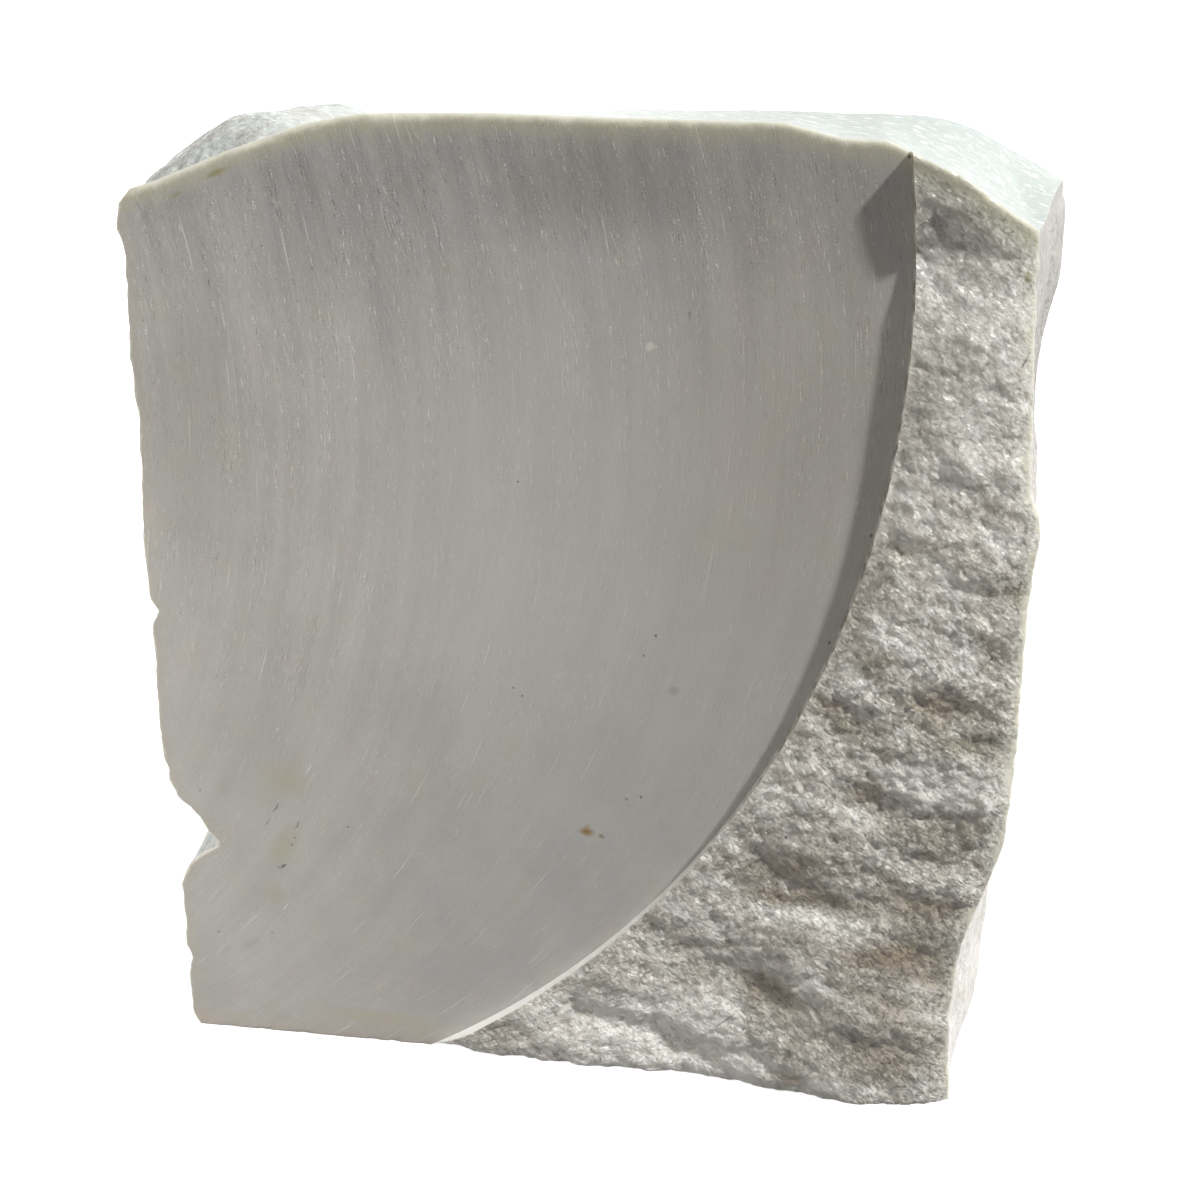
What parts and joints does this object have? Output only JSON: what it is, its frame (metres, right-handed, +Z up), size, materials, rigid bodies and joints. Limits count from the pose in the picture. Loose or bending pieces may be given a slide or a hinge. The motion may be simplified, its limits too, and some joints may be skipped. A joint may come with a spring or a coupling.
{
  "type": "marble block",
  "caption": "Rough block of white marble with one side sawn by a round blade up to a broken step; stands on a flat base as a carving blank or display stone.",
  "frame": {"origin": "middle of the base: the centre of the outer box in X and Y, at the base's height", "axes": "+Z up; -Y is the sawn front; +X is to the right for a viewer who faces the sawn front"},
  "size_m": [0.249, 0.1045, 0.2638],
  "materials": {
    "marble": "sawn face with fine arc saw marks, rough sugary fracture beside it, weathered pitted sides and top"
  },
  "bodies": {
    "root": {"marble_block": "marble"}
  },
  "joints": []
}
